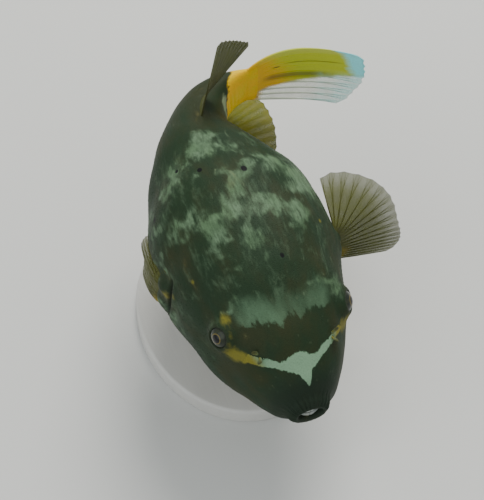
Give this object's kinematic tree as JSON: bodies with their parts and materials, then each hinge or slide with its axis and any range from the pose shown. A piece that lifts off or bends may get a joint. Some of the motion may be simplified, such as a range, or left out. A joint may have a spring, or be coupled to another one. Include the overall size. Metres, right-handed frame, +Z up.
{
  "type": "blackspotted puffer model",
  "caption": "Life-size model of a blackspotted puffer, swimming with its tail bent to its left, held over a plain oval base by two short rods.",
  "frame": {"origin": "middle of the underside of the stand's base, on the floor", "axes": "+Z up, the fish's head towards -Y, its left side towards +X"},
  "size_m": [0.1464, 0.2087, 0.1563],
  "materials": {
    "skin": "damp olive brown skin with grey green mottles, black dots and fine prickles",
    "tail_skin": "damp orange skin",
    "fin_membrane": "thin translucent brown membrane on fine rays",
    "tail_membrane": "yellow membrane with a pale tip",
    "eye": "clear and glossy over a dark iris",
    "teeth": "smooth ivory white",
    "stand_paint": "warm grey satin paint",
    "stand_steel": "brushed"
  },
  "bodies": {
    "root": {"head": "skin", "torso": "skin", "tail_stalk": "tail_skin", "eye_left": "eye", "eye_right": "eye", "upper_beak": "teeth", "lower_beak": "teeth", "dorsal_fin": "fin_membrane", "anal_fin": "fin_membrane", "pectoral_fin_left_upper": "fin_membrane", "pectoral_fin_left_lower": "fin_membrane", "pectoral_fin_right": "fin_membrane", "tail_fin": "tail_membrane", "stand_base": "stand_paint", "stand_rod_front": "stand_steel", "stand_rod_rear": "stand_steel"}
  },
  "joints": []
}
